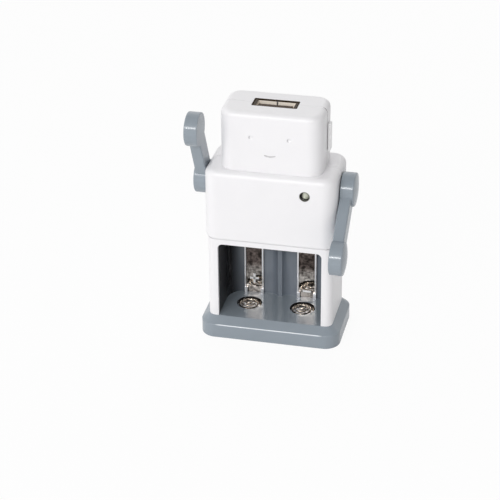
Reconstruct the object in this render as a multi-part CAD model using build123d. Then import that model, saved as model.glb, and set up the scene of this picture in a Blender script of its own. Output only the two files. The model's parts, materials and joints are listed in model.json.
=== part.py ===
"""A palm-sized robot that charges a phone from two AA cells.

The lower unit is a plinth with a white leg frame, whose open window shows the
battery bay with its two contact springs.  The upper unit, chest and head,
lifts off the bay so that the cells can be put in.  Its head holds the USB
socket and the electronics, and two arms turn on the chest.

Millimetres, +Z up, front face towards -Y.  Left and right are those of a
viewer in front: the left arm is on the -X side, the right arm on +X.  The
origin is the centre of the flat underside of the plinth.
"""
from build123d import *
from math import cos, dist, pi, sin, sqrt
import os

# ---- driving dimensions ------------------------------------------------------
# plinth: upright sides, then a bevel up to the floor of the battery bay
BASE_WIDTH = 47.6
BASE_DEPTH = 27.0
BASE_CORNER = 5.2
BASE_EDGE = 0.4
CREASE_Z = 5.0
CREASE_FILLET = 0.4
FLOOR_Z = 7.3
BEVEL_RUN = 2.7
FLOOR_THICKNESS = 1.6
RIM_WIDTH = 1.8
LEDGE_WIDTH = 3.5
COVER_THICKNESS = 1.6
COVER_GAP = 0.15
POST_X = 17.6
POST_Y = 6.4
POST_RADIUS = 2.4

# screws: cross recess, then radii and heights of the cover's, shells' and board's
CROSS_HALF_LENGTH = 1.1
CROSS_HALF_WIDTH = 0.2
CROSS_DEPTH = 0.35
COVER_SCREW_RADIUS = 0.75
COVER_SCREW_HEAD = 1.55
COVER_SCREW_Z = (0.25, 1.0, 5.2)
COVER_HOLE_RADIUS = 0.85
COVER_SINK_RADIUS = 1.75
SHELL_SCREW_RADIUS = 0.9
SHELL_SCREW_HEAD = 1.65
SHELL_SCREW_HEAD_HEIGHT = 1.2
SHELL_SCREW_TIP_Y = -6.0
SHELL_HOLE_RADIUS = 1.0
SHELL_SINK_RADIUS = 1.85
SHELL_SINK_DEPTH = 1.6
BOARD_SCREW_RADIUS = 0.7
BOARD_SCREW_HEAD = 1.4
BOARD_SCREW_HEAD_HEIGHT = 0.8
BOARD_HOLE_RADIUS = 0.9
BOARD_POST_RADIUS = 1.8

# leg frame: a rectangular tube with a window in front
FRAME_WIDTH = BASE_WIDTH - 2 * BEVEL_RUN
FRAME_DEPTH = BASE_DEPTH - 2 * BEVEL_RUN
FRAME_CORNER = BASE_CORNER - BEVEL_RUN
FRAME_WALL = 1.3
WINDOW_WIDTH = 35.0
WINDOW_TOP = 34.5
WINDOW_CORNER = 1.7
SEAM_Z = 36.25
SEAM_GAP = 0.1

# chest and head: two shells that part at y = 0
SHELL_WALL = 1.5
CHEST_WIDTH = 43.9
CHEST_DEPTH = 23.6
CHEST_CORNER = 4.6
CHEST_TOP = 61.6
CHEST_TOP_FILLET = 2.3
CHEST_FOOT_FILLET = 1.2
CEILING_Z = 59.4
HEAD_WIDTH = 33.8
HEAD_DEPTH = 18.8
HEAD_CORNER = 4.6
HEAD_TOP = 82.2
HEAD_TOP_FILLET = 2.0
PARTING_WIDTH = 0.2
PARTING_DEPTH = 0.35

# two AA cells stand side by side
CELL_X = 9.2
CELL_Y = -0.5
CELL_LENGTH = 50.5
NUB_HEIGHT = 1.0

# battery tray: rounded in its outer corners, a small rib between the cells
BAY_HALF_WIDTH = WINDOW_WIDTH / 2
BAY_CORNER = 6.5
BAY_CORNER_INNER_X = 12.7
BAY_WALL = 1.2
BACK_WALL_Y = 7.55
BACK_WALL_REAR = 9.4
TRAY_TOP = 57.0
RIB_CREST = 1.5
RIB_HEIGHT = 1.5
RIB_FLANK = 3.0
GUIDE_WIDTH = 1.5
GUIDE_GAP = 0.12
GUIDE_X = 14.2
GUIDE_FEET_Y = (-7.6, 5.6)
GUIDE_LOW = 36.55

# tabs that key the frame, the side walls and the tray into the plinth
TAB_DEPTH = 1.4
TAB_HALF = 3.0
TAB_INSET = 0.2
TAB_PLAY = 0.1
TRAY_TAB_Y = (8.2, 9.0)

# contact springs in their wells
WELL_RADIUS = 4.3
WELL_BOTTOM = 5.8
CUP_RADIUS = 5.3
CUP_BOTTOM = 4.6
SPRING_WIRE = 0.55
SPRING_FOOT_RADIUS = 3.85
SPRING_TOP_RADIUS = 1.0
SPRING_TURNS = 3.0
SPRING_TOP = 8.2

# contact strips: sprung brass channels up the back wall
STRIP_WIDTH = 6.6
STRIP_WEB = 0.4
STRIP_FLANGE = 0.5
STRIP_LIP = 1.05
STRIP_FOOT_HEIGHT = 2.0
STRIP_FOOT_PROUD = 0.25
STRIP_PAD = 0.3
PAD_REAR = 9.0
TAIL_WIDTH = 3.0
TAIL_THICKNESS = 0.3

# cell bridge, its carrier and the pickups, all under the chest's ceiling
CARRIER_THICKNESS = 1.0
CARRIER_CORNER = 3.4
CARRIER_PLAY = 0.15
GROOVE_DEPTH = 0.6
BRIDGE_THICKNESS = 0.3
BRIDGE_HALF_WIDTH = 12.2
BRIDGE_FRONT = -3.0
BRIDGE_REAR = 2.0
BRIDGE_BUMP = (1.4, 2.3)
BUMP_CLEARANCE = 0.15
PICKUP_X = 8.8
PICKUP_Y = 8.1
PICKUP_WIDTH = 2.0
PICKUP_THICKNESS = 0.3
PICKUP_RISE = 2.6
PICKUP_BUMP = (0.45, 0.8)
PICKUP_GAP = 0.05

# USB type A socket, upright in the head
USB_Y = -0.1
USB_SLOT_WIDTH = 15.0
USB_SLOT_DEPTH = 6.0
USB_SLOT_CORNER = 0.4
USB_WIDTH = 13.1
USB_DEPTH = 5.72
USB_WALL = 0.3
USB_TOP = 82.0
USB_LENGTH = 14.4
USB_LIP_GAP = 0.08
USB_LIP_THICKNESS = 0.25
USB_SEAM = 0.16
TONGUE_WIDTH = 11.1
TONGUE_THICKNESS = 1.84
TONGUE_RECESS = 0.35
TONGUE_ROOT = 2.0
TONGUE_OFFSET = 0.01
CONTACT_X = (-3.5, -1.0, 1.0, 3.5)
CONTACT_WIDTH = 1.0
CONTACT_THICKNESS = 0.2

# circuit board behind the socket
BOARD_WIDTH = 19.8
BOARD_THICKNESS = 1.0
BOARD_LOW = 61.2
BOARD_HIGH = 79.6
BOARD_SCREW_X = 5.0
BOARD_SCREW_Z = 63.2

# parts on the board
COIL_X = 4.6
COIL_Z = 72.6
COIL_FLANGE = 3.0
COIL_WINDING = 2.5
COIL_STEPS = (0.0, 0.6, 2.4, 3.0)
CHIP_X = (-7.0, -2.1)
CHIP_Y = (0.15, 1.65)
CHIP_Z = (70.6, 74.6)
CHIP_PIN_PITCH = 1.27
CHIP_PIN_HALF = 0.2
CHIP_PIN_REACH = 0.8
CHIP_PINS = 4
CAPACITOR_X = (-5.6, 0.0, 3.4)
CAPACITOR_HALF = 1.1
CAPACITOR_THICKNESS = 1.3
CAPACITOR_Z = (65.2, 66.9)

# screws that join the two shells
SHELL_SCREW_X = 12.3
SHELL_SCREW_Z = (63.6, 78.4)
BOSS_RADIUS = 2.2

# status light in the chest
LED_X = 11.9
LED_Z = 55.5
LED_RADIUS = 1.5
LED_HOLE_RADIUS = 1.75
LED_TIP_Y = -11.45
LED_REAR_Y = -8.9
LED_FLANGE_Y = -9.5
LED_FLANGE = 0.4
FLEX_THICKNESS = 0.2
FLEX_WIDTH = 2.4
FLEX_DOWN = 1.3
FLEX_RISE_Y = -6.8
FLEX_TURN_Y = -4.6
FLEX_BOARD_X = 6.7
FLEX_OVER_Z = 60.6
FLEX_TOP_Z = 62.0

# on and off slider on the side of the head
SWITCH_Y = 1.75
SWITCH_Z = 71.5
SWITCH_X = (10.0, 14.4)
SWITCH_DEPTH_Y = (0.1, 3.4)
SWITCH_HALF = 4.0
SWITCH_POCKET_X = 12.0
SWITCH_PIN_PITCH = 2.4
SWITCH_PIN_X = 8.0
SWITCH_PIN_HALF = 0.3
SLIDER_WIDTH = 2.8
SLIDER_HEIGHT = 9.3
SLIDER_PROUD = 0.9
SLIDER_FILLET = 0.3
SLIDER_GAP = 0.15
SLIDER_TRAVEL = 2.0
STEM_INNER_X = 12.3
STEM_WIDTH = 1.3
STEM_HEIGHT = 1.8
STEM_PLAY = 0.15

# face: two dimples and a small smile pressed into the head
EYE_X = 6.3
EYE_Z = 73.7
EYE_RADIUS = 1.0
EYE_DEPTH = 0.36
SMILE_Z = 67.5
SMILE_HALF_WIDTH = 1.9
SMILE_RISE = 0.45
SMILE_LINE = 0.26

# arms: a hub, a flat link and a hand, turning about X at the shoulder
ARM_Z = 53.9
ARM_LENGTH = 24.6
ARM_INNER_X = 22.2
HUB_RADIUS = 5.64
HUB_RIM = 4.45
HUB_DOME = 0.6
HAND_RADIUS = 5.6
HAND_RIM = 4.3
HAND_DOME = 0.8
DISC_OUTER_EDGE = 0.45
DISC_INNER_EDGE = 0.25
LINK_WIDTH = 6.3
LINK_THICKNESS = 3.8
LINK_EDGE = 0.5
RAISED_ARM_DEG = 63.0
LOWERED_ARM_DEG = -39.0
SHAFT_RADIUS = 1.9
SHAFT_PLAY = 0.1
SHAFT_END_X = 19.25
CLIP_INNER_X = 19.65
CLIP_THICKNESS = 0.5
CLIP_RADIUS = 2.9
CLIP_NECK = 1.3
CLIP_MOUTH = 0.8
WASHER_RADIUS = 4.4
WASHER_THICKNESS = 0.2
WASHER_GAP = 0.02

# worked out from the above
SHELL_Z = SEAM_Z + SEAM_GAP
CARRIER_Z = CEILING_Z - CARRIER_THICKNESS
BRIDGE_Z = CARRIER_Z - BRIDGE_THICKNESS
BOARD_FRONT = USB_Y + USB_DEPTH / 2
BOARD_REAR = BOARD_FRONT + BOARD_THICKNESS
HEAD_INNER_BACK = HEAD_DEPTH / 2 - SHELL_WALL
STRIP_FRONT = BACK_WALL_Y - STRIP_WEB
HEAD_BACK = HEAD_DEPTH / 2
SIDES = (-1, 1)


# ---- small helpers -----------------------------------------------------------
def block(width, depth, z_low, z_high, corner):
    """Upright block about the Z axis, its vertical corners rounded."""
    plan = RectangleRounded(width, depth, corner)
    return Pos(0, 0, z_low) * extrude(plan, amount=z_high - z_low)


def brick(x_pair, y_pair, z_pair):
    """Plain box between two corners, each pair given in either order."""
    pairs = [sorted(pair) for pair in (x_pair, y_pair, z_pair)]
    sizes = [high - low for low, high in pairs]
    middle = [(low + high) / 2 for low, high in pairs]
    return Pos(*middle) * Box(*sizes)


def rod_z(x, y, radius, z_low, z_high):
    return Pos(x, y, (z_low + z_high) / 2) * Cylinder(radius, z_high - z_low)


def rod_y(x, z, radius, y_low, y_high):
    return Pos(x, (y_low + y_high) / 2, z) * Rot(90, 0, 0) * Cylinder(radius, y_high - y_low)


def rod_x(y, z, radius, x_low, x_high):
    return Pos((x_low + x_high) / 2, y, z) * Rot(0, 90, 0) * Cylinder(radius, x_high - x_low)


def tab_z(extra):
    """Height of the tabs, or with some extra of their slots, in the plinth."""
    return (FLOOR_Z - TAB_DEPTH - extra, FLOOR_Z + 1)


def cross_recess():
    """Cross for a screwdriver, its open end up, centred on the origin."""
    half = CROSS_HALF_LENGTH
    bar = Box(2 * half, 2 * CROSS_HALF_WIDTH, 2 * CROSS_DEPTH)
    return bar + Rot(0, 0, 90) * bar


def mirrored(shape):
    """The same shape on the other side of the plane x = 0."""
    return mirror(shape, about=Plane.YZ)


# ---- lower unit --------------------------------------------------------------
def plinth():
    rim = block(BASE_WIDTH, BASE_DEPTH, 0, CREASE_Z, BASE_CORNER)
    rim = fillet(rim.edges().group_by(Axis.Z)[0], BASE_EDGE)
    bevel = loft(
        [
            Pos(0, 0, CREASE_Z) * RectangleRounded(BASE_WIDTH, BASE_DEPTH, BASE_CORNER),
            Pos(0, 0, FLOOR_Z) * RectangleRounded(FRAME_WIDTH, FRAME_DEPTH, FRAME_CORNER),
        ],
        ruled=True,
    )
    body = rim + bevel
    crease = [edge for edge in body.edges() if abs(edge.center().Z - CREASE_Z) < 0.01]
    body = fillet(crease, CREASE_FILLET)
    hollow_corner = BASE_CORNER - LEDGE_WIDTH
    body -= block(
        BASE_WIDTH - 2 * LEDGE_WIDTH,
        BASE_DEPTH - 2 * LEDGE_WIDTH,
        COVER_THICKNESS,
        FLOOR_Z - FLOOR_THICKNESS,
        hollow_corner,
    )
    body -= block(
        BASE_WIDTH - 2 * RIM_WIDTH,
        BASE_DEPTH - 2 * RIM_WIDTH,
        -1,
        COVER_THICKNESS,
        BASE_CORNER - RIM_WIDTH,
    )
    underside = FLOOR_Z - FLOOR_THICKNESS
    for side in SIDES:
        body += rod_z(side * CELL_X, CELL_Y, CUP_RADIUS, CUP_BOTTOM, underside)
        body -= rod_z(side * CELL_X, CELL_Y, WELL_RADIUS, WELL_BOTTOM, FLOOR_Z + 1)
        body -= tail_channel(side)
    body -= tab_slots()
    for x, y in cover_screw_places():
        body += rod_z(x, y, POST_RADIUS, COVER_THICKNESS, underside)
        body -= rod_z(x, y, COVER_SCREW_RADIUS, COVER_THICKNESS - 1, underside - 0.3)
    return body


def tab_slots():
    """Slots in the bay's floor for the tabs of frame, side walls and tray."""
    y_pair = (-TAB_HALF - TAB_PLAY, TAB_HALF + TAB_PLAY)
    inset = TAB_INSET - TAB_PLAY / 2
    slots = brick(y_pair, (TRAY_TAB_Y[0] - TAB_PLAY, TRAY_TAB_Y[1] + TAB_PLAY), tab_z(TAB_PLAY))
    for side in SIDES:
        for inner, wall in ((FRAME_WIDTH / 2 - FRAME_WALL, FRAME_WALL), (BAY_HALF_WIDTH, BAY_WALL)):
            x_pair = (side * (inner + inset), side * (inner + wall - inset))
            slots += brick(x_pair, y_pair, tab_z(TAB_PLAY))
    return slots


def tail_channel(side):
    """Room for the tail that joins a strip to the foot of its spring."""
    half = TAIL_WIDTH / 2 + 0.1
    x_pair = (side * CELL_X - half, side * CELL_X + half)
    low = brick(x_pair, (CELL_Y, BACK_WALL_Y), (WELL_BOTTOM, WELL_BOTTOM + TAIL_THICKNESS + 0.1))
    rise = brick(x_pair, (STRIP_FRONT - 0.05, BACK_WALL_Y), (WELL_BOTTOM, FLOOR_Z + 1))
    return low + rise


def cover_screw_places():
    return [(sx * POST_X, sy * POST_Y) for sx in SIDES for sy in SIDES]


def bottom_cover():
    inset = RIM_WIDTH + COVER_GAP
    plate = block(
        BASE_WIDTH - 2 * inset, BASE_DEPTH - 2 * inset, 0, COVER_THICKNESS, BASE_CORNER - inset
    )
    for x, y in cover_screw_places():
        plate -= rod_z(x, y, COVER_HOLE_RADIUS, -1, COVER_THICKNESS + 1)
        plate -= rod_z(x, y, COVER_SINK_RADIUS, -1, COVER_SCREW_Z[1])
    return plate


def cover_screw(x, y):
    head_low, head_high, tip = COVER_SCREW_Z
    head = rod_z(x, y, COVER_SCREW_HEAD, head_low, head_high)
    head -= Pos(x, y, head_low) * cross_recess()
    return head + rod_z(x, y, COVER_SCREW_RADIUS, head_high, tip)


def cover_screws():
    return Compound(children=[cover_screw(x, y) for x, y in cover_screw_places()])


def leg_frame():
    tube = block(FRAME_WIDTH, FRAME_DEPTH, FLOOR_Z, SEAM_Z, FRAME_CORNER)
    tube -= block(
        FRAME_WIDTH - 2 * FRAME_WALL,
        FRAME_DEPTH - 2 * FRAME_WALL,
        FLOOR_Z - 1,
        SEAM_Z + 1,
        FRAME_CORNER - FRAME_WALL,
    )
    height = WINDOW_TOP - FLOOR_Z + 2 * WINDOW_CORNER
    opening = Plane.XZ * RectangleRounded(WINDOW_WIDTH, height, WINDOW_CORNER)
    window = Pos(0, -FRAME_DEPTH / 2 - 1, WINDOW_TOP - height / 2) * extrude(opening, amount=-4)
    tube -= window
    for side in SIDES:
        outer = FRAME_WIDTH / 2 - TAB_INSET
        inner = FRAME_WIDTH / 2 - FRAME_WALL + TAB_INSET
        tube += brick((side * inner, side * outer), (-TAB_HALF, TAB_HALF), tab_z(0))
    return tube


def battery_tray():
    """Back wall of the bay, with a rib between the cells and rounded corners."""
    half = BAY_HALF_WIDTH + BAY_WALL
    tray = brick((-half, half), (BACK_WALL_Y, BACK_WALL_REAR), (FLOOR_Z, TRAY_TOP))
    tray += tray_rib()
    for side in SIDES:
        tray += tray_corner(side)
        tray += brick(
            (side * GUIDE_X, side * (GUIDE_X + GUIDE_WIDTH)),
            (BACK_WALL_REAR, CHEST_DEPTH / 2 - SHELL_WALL - GUIDE_GAP),
            (GUIDE_LOW, TRAY_TOP),
        )
    tray += brick((-TAB_HALF, TAB_HALF), TRAY_TAB_Y, tab_z(0))
    return tray


def tray_rib():
    """Low rib with concave flanks."""
    run = sqrt(RIB_FLANK**2 - (RIB_FLANK - RIB_HEIGHT) ** 2)
    reach = RIB_CREST / 2 + run
    rib = brick((-reach, reach), (BACK_WALL_Y - RIB_HEIGHT, BACK_WALL_Y), (FLOOR_Z, TRAY_TOP))
    for side in SIDES:
        rib -= rod_z(side * reach, BACK_WALL_Y - RIB_FLANK, RIB_FLANK, FLOOR_Z - 1, TRAY_TOP + 1)
    return rib


def tray_corner(side):
    """Filling that rounds the bay's corner, from beside the strip to the side wall."""
    x = side * (BAY_HALF_WIDTH - BAY_CORNER)
    y = BACK_WALL_Y - BAY_CORNER
    filling = brick(
        (side * BAY_CORNER_INNER_X, side * BAY_HALF_WIDTH), (y, BACK_WALL_Y), (FLOOR_Z, TRAY_TOP)
    )
    return filling - rod_z(x, y, BAY_CORNER, FLOOR_Z - 1, TRAY_TOP + 1)


def bay_side_wall(side):
    """Dark side wall of the bay, with ribs outside that guide the chest."""
    inner = side * BAY_HALF_WIDTH
    outer = side * (BAY_HALF_WIDTH + BAY_WALL)
    front = -FRAME_DEPTH / 2 + FRAME_WALL + 0.05
    wall = brick((inner, outer), (front, BACK_WALL_Y), (FLOOR_Z, TRAY_TOP))
    for y in GUIDE_FEET_Y:
        y_pair = (y, y + GUIDE_WIDTH)
        in_frame = side * (FRAME_WIDTH / 2 - FRAME_WALL - GUIDE_GAP)
        in_chest = side * (CHEST_WIDTH / 2 - SHELL_WALL - GUIDE_GAP)
        wall += brick((outer, in_frame), y_pair, (FLOOR_Z, TRAY_TOP))
        wall += brick((outer, in_chest), y_pair, (GUIDE_LOW, TRAY_TOP))
    inset = side * TAB_INSET
    wall += brick((inner + inset, outer - inset), (-TAB_HALF, TAB_HALF), tab_z(0))
    return wall


def bay_side_walls():
    return Compound(children=[bay_side_wall(side) for side in SIDES])


def biarc(start, start_dir, end, end_dir):
    """Two tangent arcs from start to end that leave and arrive as asked."""
    gap = end - start
    along = gap.dot(start_dir + end_dir)
    turn = 1 - start_dir.dot(end_dir)
    reach = (sqrt(along * along + 2 * turn * gap.dot(gap)) - along) / (2 * turn)
    first = start + start_dir * reach
    second = end - end_dir * reach
    middle = (first + second) * 0.5
    middle_dir = (second - first).normalized()
    return [
        TangentArc(start, middle, tangent=start_dir),
        TangentArc(middle, end, tangent=middle_dir),
    ]


def coil_point(x, angle):
    """Centre of the wire of a conical spring, after turning by angle."""
    share = angle / (2 * pi * SPRING_TURNS)
    radius = SPRING_FOOT_RADIUS + (SPRING_TOP_RADIUS - SPRING_FOOT_RADIUS) * share
    foot = WELL_BOTTOM + TAIL_THICKNESS + SPRING_WIRE / 2
    top = SPRING_TOP - SPRING_WIRE / 2
    height = foot + (top - foot) * share
    return Vector(x + radius * cos(angle), CELL_Y + radius * sin(angle), height)


def coil_direction(x, angle):
    step = 1e-4
    return (coil_point(x, angle + step) - coil_point(x, angle - step)).normalized()


def contact_spring(side):
    """Conical spring, one unbroken wire in quarter turns of paired arcs."""
    x = side * CELL_X
    quarters = int(4 * SPRING_TURNS)
    edges = []
    for quarter in range(quarters):
        start = quarter * pi / 2
        end = start + pi / 2
        edges += biarc(
            coil_point(x, start), coil_direction(x, start), coil_point(x, end), coil_direction(x, end)
        )
    section = Plane(origin=coil_point(x, 0), z_dir=coil_direction(x, 0)) * Circle(SPRING_WIRE / 2)
    return sweep(section, path=Wire(edges))


def spring_gap():
    """Least gap between the wire and itself, from points along the coil."""
    steps = 72
    count = int(steps * SPRING_TURNS)
    points = [tuple(coil_point(0, 2 * pi * n / steps)) for n in range(count + 1)]
    half_turn = steps // 2
    spans = [
        dist(points[a], points[b])
        for a in range(len(points))
        for b in range(a + half_turn, len(points))
    ]
    return min(spans) - SPRING_WIRE


def contact_strip(side):
    """Channel up the back wall, with a tail under the spring and a pad on top."""
    x = side * CELL_X
    half = STRIP_WIDTH / 2
    strip = brick((x - half, x + half), (STRIP_FRONT, BACK_WALL_Y), (FLOOR_Z, TRAY_TOP))
    lip_front = BACK_WALL_Y - STRIP_LIP
    for edge in SIDES:
        outer = x + edge * half
        inner = outer - edge * STRIP_FLANGE
        strip += brick((outer, inner), (lip_front, BACK_WALL_Y), (FLOOR_Z, TRAY_TOP))
        foot_inner = outer - edge * 2 * STRIP_FLANGE
        strip += brick(
            (outer, foot_inner),
            (lip_front - STRIP_FOOT_PROUD, BACK_WALL_Y),
            (FLOOR_Z, FLOOR_Z + STRIP_FOOT_HEIGHT),
        )
    strip += brick(
        (x - half + STRIP_FLANGE, x + half - STRIP_FLANGE),
        (STRIP_FRONT, PAD_REAR),
        (TRAY_TOP, TRAY_TOP + STRIP_PAD),
    )
    tail_half = TAIL_WIDTH / 2
    tail_x = (x - tail_half, x + tail_half)
    tail_z = WELL_BOTTOM + TAIL_THICKNESS
    strip += brick(tail_x, (STRIP_FRONT, BACK_WALL_Y), (WELL_BOTTOM, FLOOR_Z))
    strip += brick(tail_x, (CELL_Y, BACK_WALL_Y), (WELL_BOTTOM, tail_z))
    strip += Pos(x, CELL_Y, WELL_BOTTOM + TAIL_THICKNESS / 2) * Cylinder(
        SPRING_FOOT_RADIUS + SPRING_WIRE / 2, TAIL_THICKNESS
    )
    return strip


# ---- upper unit --------------------------------------------------------------
def upper_outside(inset=0.0):
    """Outer form of chest and head; inset shrinks it evenly."""
    chest = block(
        CHEST_WIDTH - 2 * inset,
        CHEST_DEPTH - 2 * inset,
        SHELL_Z,
        CHEST_TOP - inset,
        CHEST_CORNER - inset,
    )
    chest = fillet(chest.edges().group_by(Axis.Z)[-1], CHEST_TOP_FILLET - inset)
    if not inset:
        chest = fillet(chest.edges().group_by(Axis.Z)[0], CHEST_FOOT_FILLET)
    head = block(
        HEAD_WIDTH - 2 * inset,
        HEAD_DEPTH - 2 * inset,
        CHEST_TOP - CHEST_TOP_FILLET - inset,
        HEAD_TOP - inset,
        HEAD_CORNER - inset,
    )
    head = fillet(head.edges().group_by(Axis.Z)[-1], HEAD_TOP_FILLET - inset)
    return chest + head


def upper_hollow():
    chest = block(
        CHEST_WIDTH - 2 * SHELL_WALL,
        CHEST_DEPTH - 2 * SHELL_WALL,
        SHELL_Z - 1,
        CEILING_Z,
        CHEST_CORNER - SHELL_WALL,
    )
    head = block(
        HEAD_WIDTH - 2 * SHELL_WALL,
        HEAD_DEPTH - 2 * SHELL_WALL,
        CEILING_Z - 1,
        HEAD_TOP - SHELL_WALL,
        HEAD_CORNER - SHELL_WALL,
    )
    groove_grow = 2 * (GROOVE_DEPTH - SHELL_WALL)
    groove = block(
        CHEST_WIDTH + groove_grow,
        CHEST_DEPTH + groove_grow,
        CARRIER_Z,
        CEILING_Z,
        CHEST_CORNER - SHELL_WALL + GROOVE_DEPTH,
    )
    return chest + head + groove


def parting_groove():
    """Fine line all round where the two shells meet."""
    slab = brick(
        (-CHEST_WIDTH, CHEST_WIDTH), (-PARTING_WIDTH / 2, PARTING_WIDTH / 2), (0, HEAD_TOP + 5)
    )
    return (upper_outside() - upper_outside(PARTING_DEPTH)) & slab


def upper_cuts():
    """Everything cut through the walls: shoulder holes, USB slot, switch slot."""
    shoulders = rod_x(0, ARM_Z, SHAFT_RADIUS + SHAFT_PLAY, -CHEST_WIDTH, CHEST_WIDTH)
    slot = Pos(0, USB_Y, 0) * block(
        USB_SLOT_WIDTH, USB_SLOT_DEPTH, HEAD_TOP - SHELL_WALL - 1, HEAD_TOP + 1, USB_SLOT_CORNER
    )
    stem_low = SWITCH_Z - SLIDER_TRAVEL / 2 - STEM_HEIGHT / 2
    switch = brick(
        (HEAD_WIDTH / 2 - SHELL_WALL - 1, HEAD_WIDTH / 2 + 1),
        (SWITCH_Y - STEM_WIDTH / 2 - STEM_PLAY, SWITCH_Y + STEM_WIDTH / 2 + STEM_PLAY),
        (stem_low - STEM_PLAY, stem_low + STEM_HEIGHT + SLIDER_TRAVEL + STEM_PLAY),
    )
    return shoulders + slot + switch


def face_marks():
    """Two dimples for eyes and a shallow smile, cut into the head's front."""
    front = -HEAD_DEPTH / 2
    ball_y = front - EYE_RADIUS + EYE_DEPTH
    marks = [Pos(side * EYE_X, ball_y, EYE_Z) * Sphere(EYE_RADIUS) for side in SIDES]
    bend = (SMILE_HALF_WIDTH**2 + SMILE_RISE**2) / (2 * SMILE_RISE)
    ring = Pos(0, front, SMILE_Z + bend) * Rot(90, 0, 0) * Torus(bend, SMILE_LINE)
    window = brick(
        (-SMILE_HALF_WIDTH, SMILE_HALF_WIDTH), (front - 1, front + 1), (SMILE_Z - 1, SMILE_Z + SMILE_RISE)
    )
    return marks[0] + marks[1] + (ring & window)


def shell_screw_places():
    return [(side * SHELL_SCREW_X, z) for side in SIDES for z in SHELL_SCREW_Z]


def front_shell():
    shell = upper_outside() - upper_hollow()
    shell &= brick((-CHEST_WIDTH, CHEST_WIDTH), (-CHEST_DEPTH, 0), (0, HEAD_TOP + 5))
    for x, z in shell_screw_places():
        shell += rod_y(x, z, BOSS_RADIUS, -HEAD_BACK + 1, 0)
        shell -= rod_y(x, z, SHELL_SCREW_RADIUS, SHELL_SCREW_TIP_Y - 0.5, 1)
    shell -= upper_cuts()
    shell -= rod_y(LED_X, LED_Z, LED_HOLE_RADIUS, -CHEST_DEPTH, -CHEST_DEPTH / 2 + SHELL_WALL + 1)
    shell -= face_marks()
    shell -= parting_groove()
    return shell


def back_shell():
    shell = upper_outside() - upper_hollow()
    shell &= brick((-CHEST_WIDTH, CHEST_WIDTH), (0, CHEST_DEPTH), (0, HEAD_TOP + 5))
    for x, z in shell_screw_places():
        shell += rod_y(x, z, BOSS_RADIUS, 0, HEAD_BACK - 1)
        shell -= rod_y(x, z, SHELL_HOLE_RADIUS, -1, HEAD_BACK + 1)
        shell -= rod_y(x, z, SHELL_SINK_RADIUS, HEAD_BACK - SHELL_SINK_DEPTH, HEAD_BACK + 1)
    for side in SIDES:
        x = side * BOARD_SCREW_X
        shell += rod_y(x, BOARD_SCREW_Z, BOARD_POST_RADIUS, BOARD_REAR, HEAD_INNER_BACK + 0.5)
        shell -= rod_y(x, BOARD_SCREW_Z, BOARD_SCREW_RADIUS, BOARD_REAR - 1, HEAD_INNER_BACK)
    shell -= upper_cuts()
    shell -= parting_groove()
    return shell


def shell_screw(x, z):
    seat = HEAD_BACK - SHELL_SINK_DEPTH
    top = seat + SHELL_SCREW_HEAD_HEIGHT
    head = rod_y(x, z, SHELL_SCREW_HEAD, seat, top)
    head -= Pos(x, top, z) * Rot(90, 0, 0) * cross_recess()
    return head + rod_y(x, z, SHELL_SCREW_RADIUS, SHELL_SCREW_TIP_Y, seat)


def shell_screws():
    return Compound(children=[shell_screw(x, z) for x, z in shell_screw_places()])


def contact_carrier():
    grow = 2 * (GROOVE_DEPTH - SHELL_WALL - CARRIER_PLAY)
    plate = block(CHEST_WIDTH + grow, CHEST_DEPTH + grow, CARRIER_Z, CEILING_Z, CARRIER_CORNER)
    through = (CARRIER_Z - 1, CEILING_Z + 1)
    tab_half = PICKUP_WIDTH / 2 + 0.1
    for side in SIDES:
        x = side * PICKUP_X
        tab_y = (BOARD_REAR - 0.1, BOARD_REAR + PICKUP_THICKNESS + 0.1)
        plate -= brick((x - tab_half, x + tab_half), tab_y, through)
    flex_half = FLEX_WIDTH / 2 + 0.2
    flex_y = (FLEX_RISE_Y - FLEX_THICKNESS - 0.2, FLEX_RISE_Y + 0.2)
    plate -= brick((LED_X - flex_half, LED_X + flex_half), flex_y, through)
    return plate


def bridge_plate():
    """Plate that joins the tops of the two cells, with a bump for the flat end."""
    plate = brick(
        (-BRIDGE_HALF_WIDTH, BRIDGE_HALF_WIDTH), (BRIDGE_FRONT, BRIDGE_REAR), (BRIDGE_Z, CARRIER_Z)
    )
    flat_end_z = FLOOR_Z + CELL_LENGTH - NUB_HEIGHT
    bump_height = BRIDGE_Z - flat_end_z - BUMP_CLEARANCE
    bump = Pos(-CELL_X, CELL_Y, BRIDGE_Z - bump_height / 2) * Cone(*BRIDGE_BUMP, bump_height)
    return plate + bump


def pickup(side):
    """Sprung tab that meets a strip's pad and runs up to the board."""
    x = side * PICKUP_X
    x_pair = (x - PICKUP_WIDTH / 2, x + PICKUP_WIDTH / 2)
    pad_top = TRAY_TOP + STRIP_PAD
    tab = brick(x_pair, (BOARD_REAR, PAD_REAR), (BRIDGE_Z, CARRIER_Z))
    rise_y = (BOARD_REAR, BOARD_REAR + PICKUP_THICKNESS)
    tab += brick(x_pair, rise_y, (BRIDGE_Z, BOARD_LOW + PICKUP_RISE))
    bump_height = BRIDGE_Z - pad_top - PICKUP_GAP
    tab += Pos(x, PICKUP_Y, BRIDGE_Z - bump_height / 2) * Cone(*PICKUP_BUMP, bump_height)
    return tab


def pickup_contacts():
    return Compound(children=[pickup(side) for side in SIDES])


def main_board():
    board = brick(
        (-BOARD_WIDTH / 2, BOARD_WIDTH / 2), (BOARD_FRONT, BOARD_REAR), (BOARD_LOW, BOARD_HIGH)
    )
    for side in SIDES:
        x = side * BOARD_SCREW_X
        board -= rod_y(x, BOARD_SCREW_Z, BOARD_HOLE_RADIUS, BOARD_FRONT - 1, BOARD_REAR + 1)
    return board


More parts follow.
